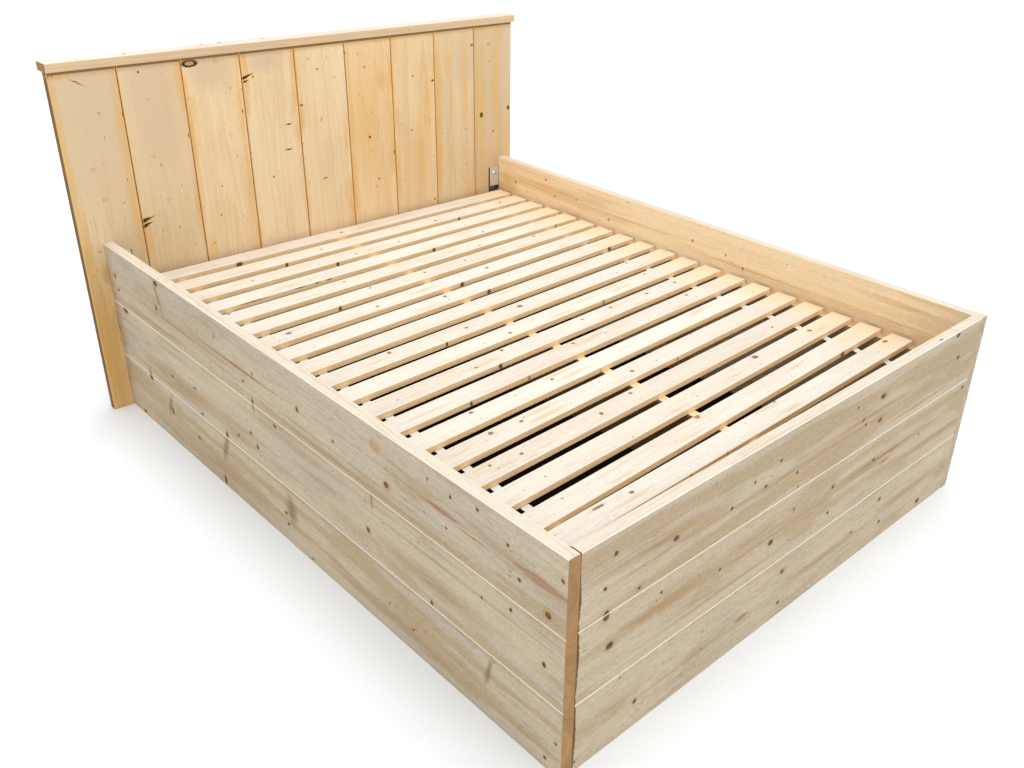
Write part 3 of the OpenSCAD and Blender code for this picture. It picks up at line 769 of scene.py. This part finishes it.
def steel(name, tone, roughness, brushed, metallic=1.0, painted_shade=None):
    """Finish of zinc-coated steel: faint spangle, wiped marks and scuffs.

    The last argument, if given, says from 0 to 1 how much painted shade each place gets.
    """
    finish = Finish(name)
    place = finish.place()
    spangle = finish.node("ShaderNodeTexVoronoi", {"feature": "F1"},
                          {"Vector": place, "Scale": 260.0}, "Color")
    wiped = finish.noise(place, (900.0, 900.0, 40.0) if brushed else (220.0,) * 3)
    cloud = finish.noise(place, (45.0, 45.0, 45.0), 3.0)
    facet = finish.node("ShaderNodeSeparateColor", {}, (spangle,), "Red")
    colour = finish.tint(rgba(tone), 0.80 + facet * 0.12 + cloud * 0.16)
    # Painted shade on the plates, in a dark joint colour
    if painted_shade:
        dirt = shaded(bpy.context.scene.bed_wood.joint_tone, 0.17)
        colour = finish.mix(colour, dirt, painted_shade(finish, place) * (0.75 + cloud * 0.3))
    gloss = roughness + cloud.swing(0.25) + wiped * 0.08
    return finish.surface({"Base Color": colour, "Metallic": metallic, "Roughness": gloss},
                          wiped * 0.6 + cloud * 0.4, bump_strength=0.25, bump_distance=0.0002)


def webbing(name, tone):
    """Finish of a woven tape: ribs across, threads along, a little soiling."""
    finish = Finish(name)
    place = finish.place()
    x, y = finish.split(place, "XY")
    warp = abs((x * 620.0).fract() - 0.5) * 2.0
    weft = abs((y * 480.0 + x * 310.0).fract() - 0.5) * 2.0
    soil = finish.noise(place, (35.0, 9.0, 35.0), 3.0)
    weave = warp * 0.5 + weft * 0.5
    colour = finish.tint(rgba(tone), 0.70 + weave * 0.22 + soil * 0.16)
    return finish.surface({"Base Color": colour, "Roughness": 0.75 + weave * 0.1},
                          weave, bump_strength=0.6, bump_distance=0.0004)


def enter(mode):
    """Goes to edit or object mode."""
    bpy.ops.object.mode_set(mode=mode)


def deselect_all():
    """Leaves edit mode and deselects every object."""
    if bpy.context.mode != "OBJECT":
        enter("OBJECT")
    bpy.ops.object.select_all(action="DESELECT")


def place_in_mesh(piece):
    """Moves a piece's place, turn and scale into its mesh."""
    deselect_all()
    piece.select_set(True)
    bpy.context.view_layer.objects.active = piece
    bpy.ops.object.transform_apply(location=True, rotation=True, scale=True)


def select(piece, kind, wanted):
    """Selects, in edit mode, the points or edges for whose places wanted(...) holds."""
    enter("EDIT")
    bpy.ops.mesh.select_mode(type=kind)
    bpy.ops.mesh.select_all(action="DESELECT")
    enter("OBJECT")
    points = piece.data.vertices
    for part in points if kind == "VERT" else piece.data.edges:
        corners = (part.index,) if kind == "VERT" else part.vertices
        part.select = wanted(*(points[corner].co for corner in corners))
    enter("EDIT")


def apply_modifier(piece, modifier):
    """Turns one modifier of a piece into its mesh."""
    bpy.context.view_layer.objects.active = piece
    bpy.ops.object.modifier_apply(modifier=modifier.name)


def merged_copy(node, name):
    """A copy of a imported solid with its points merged, to work on."""
    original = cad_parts[node]
    deselect_all()
    original.select_set(True)
    bpy.context.view_layer.objects.active = original
    bpy.ops.object.duplicate()
    copy = bpy.context.active_object
    copy.name = name
    copy.parent = None
    for key in [key for key in copy.keys() if key.startswith("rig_")]:
        del copy[key]
    enter("EDIT")
    bpy.ops.mesh.select_all(action="SELECT")
    bpy.ops.mesh.remove_doubles(threshold=0.00001)
    enter("OBJECT")
    return copy


def islands(mesh):
    """The points of each part of a mesh that hangs together."""
    leader = list(range(len(mesh.vertices)))

    def first(index):
        while leader[index] != index:
            leader[index] = leader[leader[index]]
            index = leader[index]
        return index

    for edge in mesh.edges:
        one, other = map(first, edge.vertices)
        leader[max(one, other)] = min(one, other)
    groups = {}
    for index, vertex in enumerate(mesh.vertices):
        groups.setdefault(first(index), []).append(vertex.co.copy())
    return list(groups.values())


def head_of(points):
    """Number of the axis along which a screw lies, and the middle of its head's face."""
    low = Vector(min(p[a] for p in points) for a in range(3))
    high = Vector(max(p[a] for p in points) for a in range(3))
    axis = max(range(3), key=lambda a: high[a] - low[a])
    middle = (low + high) / 2
    reach = {}
    for sign, end in ((-1, low[axis]), (1, high[axis])):
        cap = [p for p in points if abs(p[axis] - end) < 0.0002]
        reach[sign] = max((p - middle)[a] ** 2 for p in cap for a in range(3) if a != axis)
    sign = max(reach, key=reach.get)
    head = middle.copy()
    head[axis] = high[axis] if sign > 0 else low[axis]
    return axis, head


def join_body(piece, body, slot, *nodes):
    """Makes a finished piece ride on its body in place of the named solids."""
    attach(piece, body)
    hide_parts(*nodes)


class BED_OT_headboard(bpy.types.Operator):
    """Finishes the upright boards, the cap and the battens behind them"""
    bl_idname = "bed.headboard"
    bl_label = "Headboard"

    def execute(self, context):
        wood_set = context.scene.bed_wood
        draw = random.Random(HEADBOARD_SEED)
        marks_mm = {**HEADBOARD_MARKS_MM, "shades": self.painted_plate_shades()}
        for number, (gold, light) in enumerate(zip(HEADBOARD_GOLD, HEADBOARD_LIGHT), 1):
            board = Board(f"headboard_board_{number}", UPRIGHT)
            plain = blend(wood_set.headboard_tone, wood_set.golden_tone, gold)
            side = shaded(wood_set.joint_tone, OUTER_EDGE_SHADE if number == 1 else 1.0)
            clad(board, f"headboard wood {number}", shaded(plain, light), draw, fine=0.7,
                 joints=0.85, side=side, darkest=0.86, stain=wood_set.gold_stain,
                 arris_tone=wood_set.gold_stain, **board.marks(marks_mm, 0, 2))
        cap = Board("headboard_cap", LYING)
        clad(cap, "cap wood", wood_set.slat_tone, draw, bands=0.4,
             side=wood_set.cap_front_tone, arris_tone=wood_set.cap_front_tone,
             knots=cap.chance_spots(draw, 5, 3, 6))
        for row in PANEL_ROWS:
            batten = Board(f"headboard_batten_{row}", CROSSWISE)
            clad(batten, f"headboard batten wood {row}", wood_set.sawn_tone, draw,
                 knots=batten.chance_spots(draw, 6, 4, 9))
        return {"FINISHED"}

    def painted_plate_shades(self):
        """Painted shade on the boards round the steel plates and seen through their slots."""
        low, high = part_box("steel_plates")
        middle_mm, half_high_mm = (low.z + high.z) / 2 / MM, (high.z - low.z) / 2 / MM
        half_wide_mm = PLATE_WIDTH_MM / 2
        return [(x / MM - side * half_wide_mm, middle_mm, half_high_mm,
                 half_wide_mm + PLATE_RIM_MM) for side, x in ((-1, low.x), (1, high.x))]


class BED_OT_box(bpy.types.Operator):
    """Finishes the side panels and the foot panel"""
    bl_idname = "bed.box"
    bl_label = "Box of boards"

    def execute(self, context):
        wood_set = context.scene.bed_wood
        draw = random.Random(BOX_SEED)
        # Pale arrises: sanded wood with a painted highlight
        arris_tone = shaded(wood_set.edge_tone, 1.15)
        outer = {"band": wood_set.panel_band_tone, "stain": wood_set.panel_stain, "fine": 1.8,
                 "darkest": 0.84, "side": wood_set.edge_tone, "arris_tone": arris_tone}
        for panel, axes, along, listed, light, dullness in (
                ("left", LENGTHWISE, 1, LEFT_MARKS_MM, 1.0, 0.5),
                ("foot", CROSSWISE, 0, FOOT_MARKS_MM, 0.955, 0.3)):
            for row in PANEL_ROWS:
                board = Board(f"{panel}_board_{row}", axes)
                marks = board.marks(listed, along, 2)
                if (panel, row) == ("foot", "top"):
                    marks["bark"] = board.edge_spots(FOOT_EDGE_MM)
                clad(board, f"{panel} panel wood {row}", shaded(wood_set.panel_tone, light),
                     draw, dullness=dullness, **outer, **marks)
        for row in PANEL_ROWS:
            board = Board(f"right_board_{row}", LENGTHWISE)
            clad(board, f"right panel wood {row}", wood_set.inner_tone, draw, bands=0.65,
                 side=wood_set.edge_tone, arris_tone=arris_tone, darkest=0.7,
                 end=shaded(wood_set.panel_tone, 0.86), stain=wood_set.gold_stain,
                 **board.marks(RIGHT_MARKS_MM, 1, 2))
        return {"FINISHED"}


class BED_OT_supports(bpy.types.Operator):
    """Finishes the posts, side battens, ledges, centre rail and cradles"""
    bl_idname = "bed.supports"
    bl_label = "Supports"

    def execute(self, context):
        wood_set = context.scene.bed_wood
        draw = random.Random(SUPPORT_SEED)
        for node in ("post_foot_left", "post_foot_right", "post_head_left", "post_head_right",
                     "left_batten", "right_batten", "rail_cradle_foot", "rail_cradle_head",
                     "left_ledge", "right_ledge", "centre_rail"):
            rail = node == "centre_rail"
            board = Board(node, LENGTHWISE if rail or node.endswith("ledge") else UPRIGHT)
            sawn = shaded(wood_set.sawn_tone, (0.50, 0.40, 0.30) if rail else 1.0)
            clad(board, f"{node.replace('_', ' ')} wood", sawn, draw,
                 side=wood_set.rail_tone if rail else None,
                 knots=board.chance_spots(draw, 4, 3, 8))
        return {"FINISHED"}


class BED_OT_slats(bpy.types.Operator):
    """Finishes the twenty slats"""
    bl_idname = "bed.slats"
    bl_label = "Slats"

    def execute(self, context):
        wood_set = context.scene.bed_wood
        draw = random.Random(SLAT_SEED)
        for number in range(1, SLATS + 1):
            slat = Board(f"slat_{number:02d}", LYING)
            ground = shaded(wood_set.slat_tone, draw.uniform(0.96, 1.04))
            knots = slat.marks(SLAT_MARKS_MM, 0, 1)["knots"]
            bark = slat.edge_spots(SLAT_BARK_MM.get(number, ()))
            for x_mm, half_long_mm in SLAT_EDGE_KNOTS_MM.get(number, ()):
                x, half_long = x_mm * MM - slat.middle.x, half_long_mm * MM
                knots.append((x, -slat.half[1], 0.5 * half_long, EDGE_KNOT_WIDTH))
                bark.append((x, 0.0, 0.9 * half_long, EDGE_KNOT_HEIGHT))
            # The last 10 to 26 cm on the right are golden, painted warm light from the right panel
            gold = [(slat.half[0] - 0.02, 0.0, draw.uniform(0.10, 0.26), 0.07)]
            clad(slat, f"slat wood {number:02d}", ground, draw, stain=wood_set.slat_stain,
                 late=0.12, bands=0.35, side=wood_set.slat_side_tone, darkest=0.72,
                 stains=slat.chance_spots(draw, 4, 4, 10, 9.0), gold=gold, bark=bark, knots=knots)
        return {"FINISHED"}


class BED_OT_straps(bpy.types.Operator):
    """Models the two woven straps, which hang a little between the slats"""
    bl_idname = "bed.straps"
    bl_label = "Straps"

    def execute(self, context):
        metal = context.scene.bed_metal
        material = webbing("strap webbing", metal.strap_tone)
        slats = [Board(f"slat_{number:02d}", LYING) for number in range(1, SLATS + 1)]
        for side in ("left", "right"):
            low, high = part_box(f"strap_{side}")
            size, middle = high - low, (low + high) / 2
            gaps = []
            for slat, following in zip(slats, slats[1:]):
                start, end = following.edge_at(middle.x, 1), slat.edge_at(middle.x, -1)
                gaps.append(((start + end) / 2, (end - start) / 2))
            deselect_all()
            bpy.ops.mesh.primitive_cube_add(size=1, location=middle, scale=size)
            strap = context.active_object
            strap.name = f"woven_strap_{side}"
            place_in_mesh(strap)
            select(strap, "EDGE", lambda one, other: abs(one.y - other.y) > size.y / 2)
            bpy.ops.mesh.subdivide(number_cuts=round(size.y / STRAP_STEP) - 1)
            # Each gap hangs in two steps, the second one nearer its middle
            for share in (0.85, 0.50):
                enter("OBJECT")
                select(strap, "VERT", lambda co: any(
                    abs(co.y - place) < half * share for place, half in gaps))
                bpy.ops.transform.translate(value=(0, 0, -metal.strap_sag / 2))
            enter("OBJECT")
            bevel = strap.modifiers.new("soft edge", "BEVEL")
            bevel.width, bevel.segments, bevel.limit_method = 0.0004, 1, "ANGLE"
            bevel.angle_limit = math.radians(60)
            apply_modifier(strap, bevel)
            bpy.ops.object.shade_smooth_by_angle(angle=math.radians(40))
            strap.data.materials.append(material)
            join_body(strap, "slat_roll", "strap_webbing", f"strap_{side}")
        return {"FINISHED"}


class BED_OT_steel(bpy.types.Operator):
    """Finishes the plates, bolts and nuts on the headboard"""
    bl_idname = "bed.steel"
    bl_label = "Steel plates"

    def execute(self, context):
        metal = context.scene.bed_metal
        dress("steel_plates", steel("plate steel", metal.plate_tone, 0.50, True, 0.65,
                                    self.plate_painted_shade))
        dress("plate_bolts", steel("bolt steel", metal.bolt_tone, 0.42, False))
        dress("plate_nuts", steel("nut steel", metal.bolt_tone, 0.34, False))
        return {"FINISHED"}

    def plate_painted_shade(self, finish, place):
        """Painted shade on the narrow faces of the plates and round the slots near their lower
        ends.
        """
        low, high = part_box("steel_plates")
        x, z = finish.split(place, "XZ")
        from_middle = abs(x - (low.x + high.x) / 2)
        outer = (high.x - low.x) / 2
        to_side = (outer - from_middle).least(from_middle - (outer - PLATE_WIDTH_MM * MM))
        rim = finish.fade(to_side, 0.0020, 0.0008)
        end = finish.fade(z, low.z + SLOT_TOP, low.z + SLOT_TOP - 0.002)
        return rim.most(end)


class BED_OT_screws(bpy.types.Operator):
    """Cuts a cross recess into the head of every screw"""
    bl_idname = "bed.screws"
    bl_label = "Screws"

    def execute(self, context):
        metal = context.scene.bed_metal
        material = steel("screw steel", metal.screw_tone, 0.36, False)
        draw = random.Random(SCREW_SEED)
        for node in ("headboard_screws", "frame_screws"):
            screws = merged_copy(node, f"cross_{node}")
            heads = [(*head_of(points), draw.uniform(0, math.pi))
                     for points in islands(screws.data)]
            for quarter in (0.0, math.pi / 2):
                self.cut_slots(screws, heads, quarter, metal)
            screws.data.materials.clear()
            screws.data.materials.append(material)
            join_body(screws, "frame", "screw_steel", node)
        return {"FINISHED"}

    def cut_slots(self, screws, heads, quarter, metal):
        """Cuts one straight slot into every head."""
        deselect_all()
        for axis, head, angle in heads:
            size = Vector((0.0, 0.0, 0.0))
            size[axis] = 2 * metal.recess_depth
            size[(axis + 1) % 3], size[(axis + 2) % 3] = metal.recess_length, metal.recess_width
            turn = [0.0, 0.0, 0.0]
            turn[axis] = angle + quarter
            bpy.ops.mesh.primitive_cube_add(size=1, location=head, rotation=turn, scale=size)
            if bpy.context.mode == "OBJECT":
                bars = bpy.context.active_object
                place_in_mesh(bars)
                enter("EDIT")
        enter("OBJECT")
        cut = screws.modifiers.new("slots", "BOOLEAN")
        cut.operation, cut.solver, cut.object = "DIFFERENCE", "MANIFOLD", bars
        apply_modifier(screws, cut)
        deselect_all()
        bars.select_set(True)
        bpy.ops.object.delete()


class BED_OT_stage(bpy.types.Operator):
    """Makes the camera, the lamps, the sky and the pale floor"""
    bl_idname = "bed.stage"
    bl_label = "Stage"

    def execute(self, context):
        stage = context.scene.bed_stage
        scene = context.scene
        deselect_all()
        bpy.ops.object.camera_add(location=stage.camera_place, rotation=stage.camera_turn)
        camera = context.active_object
        camera.name = "picture camera"
        camera.data.lens = stage.focal_length
        camera.data.sensor_width = SENSOR_WIDTH_MM
        camera.data.shift_x, camera.data.shift_y = stage.shift
        camera.data.clip_start, camera.data.clip_end = 0.05, 200.0
        scene.camera = camera

        # Name, turns in radians, strength and spread in degrees
        for name, turn, strength, spread in (
                ("broad light", (0.70, -0.42, 0.0), stage.broad_strength, 60),
                ("key light", (-0.04, 0.16, 0.0), stage.key_strength, 26)):
            bpy.ops.object.light_add(type="SUN", rotation=turn)
            lamp = context.active_object
            lamp.name = name
            lamp.data.energy = strength
            lamp.data.angle = math.radians(spread)

        # The camera, glossy and clear materials see a white sky, and all else a dimmer one
        sky = Finish("pale sky", bpy.data.worlds)
        camera_ray = sky.node("ShaderNodeLightPath", output="Is Camera Ray")
        seen = camera_ray.most(camera_ray.sibling("Is Glossy Ray"))
        seen = seen.most(camera_ray.sibling("Is Transmission Ray"))
        dim, white = (sky.node("ShaderNodeBackground", {},
                               {"Color": (1.0, 1.0, 1.0, 1.0), "Strength": strength})
                      for strength in (stage.sky_strength, 1.0))
        shown = sky.node("ShaderNodeMixShader", {}, (seen, dim, white))
        sky.node("ShaderNodeOutputWorld", {}, {"Surface": shown})
        scene.world = sky.material

        deselect_all()
        bpy.ops.mesh.primitive_plane_add(size=FLOOR_SIZE, location=(0, 0, -FLOOR_DROP))
        floor = context.active_object
        floor.name = "floor"
        finish = Finish("floor")
        place = finish.place()
        mottle = finish.noise(place, (3.0, 3.0, 3.0))
        colour = finish.mix(stage.floor_tone, shaded(stage.floor_tone, 0.985), mottle)
        low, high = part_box("left_board_bottom")[0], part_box("right_board_bottom")[1]
        across, along = finish.split(place, "XY")
        middle, half = (low + high) / 2, (high - low) / 2
        # Inside the box the floor is painted shade; the camera sees the rest a little dimmed
        beside = finish.fade(abs(across - middle.x), half.x - 0.04, half.x - 0.02)
        before = finish.fade(abs(along - middle.y), half.y - 0.04, half.y - 0.02)
        seen = finish.node("ShaderNodeLightPath", output="Is Camera Ray")
        colour = finish.tint(colour, 1.0 - seen * (1.0 - stage.floor_seen))
        colour = finish.mix(stage.under_bed_shade_tone, colour, beside.most(before))
        plain = finish.node("ShaderNodeBsdfDiffuse", {}, {"Color": colour})
        finish.node("ShaderNodeOutputMaterial", {}, {"Surface": plain})
        floor.data.materials.append(finish.material)

        scene.view_settings.view_transform = "Standard"
        return {"FINISHED"}


OPERATORS = (BED_OT_headboard, BED_OT_box, BED_OT_supports, BED_OT_slats, BED_OT_straps,
             BED_OT_steel, BED_OT_screws, BED_OT_stage)
SETTINGS = {"bed_wood": BedWoodSettings, "bed_metal": BedMetalSettings,
            "bed_stage": BedStageSettings}


class BED_PT_looks(bpy.types.Panel):
    """Lists the steps and the settings they use"""
    bl_idname = "BED_PT_looks"
    bl_label = "Scaffold wood bed"
    bl_space_type = "VIEW_3D"
    bl_region_type = "UI"
    bl_category = "Bed"

    def draw(self, context):
        for operator in OPERATORS:
            self.layout.operator(operator.bl_idname)
        for name, group in SETTINGS.items():
            column = self.layout.column()
            for setting in group.__annotations__:
                column.prop(getattr(context.scene, name), setting)


def register():
    for made in (*SETTINGS.values(), *OPERATORS, BED_PT_looks):
        bpy.utils.register_class(made)
    for name, group in SETTINGS.items():
        setattr(bpy.types.Scene, name, PointerProperty(type=group))


def unregister():
    for name in SETTINGS:
        delattr(bpy.types.Scene, name)
    for made in (BED_PT_looks, *reversed(OPERATORS), *reversed(SETTINGS.values())):
        bpy.utils.unregister_class(made)


def main():
    """Runs every step."""
    register()
    bpy.ops.bed.headboard()
    bpy.ops.bed.box()
    bpy.ops.bed.supports()
    bpy.ops.bed.slats()
    bpy.ops.bed.straps()
    bpy.ops.bed.steel()
    bpy.ops.bed.screws()
    bpy.ops.bed.stage()


if __name__ == "__main__":
    main()
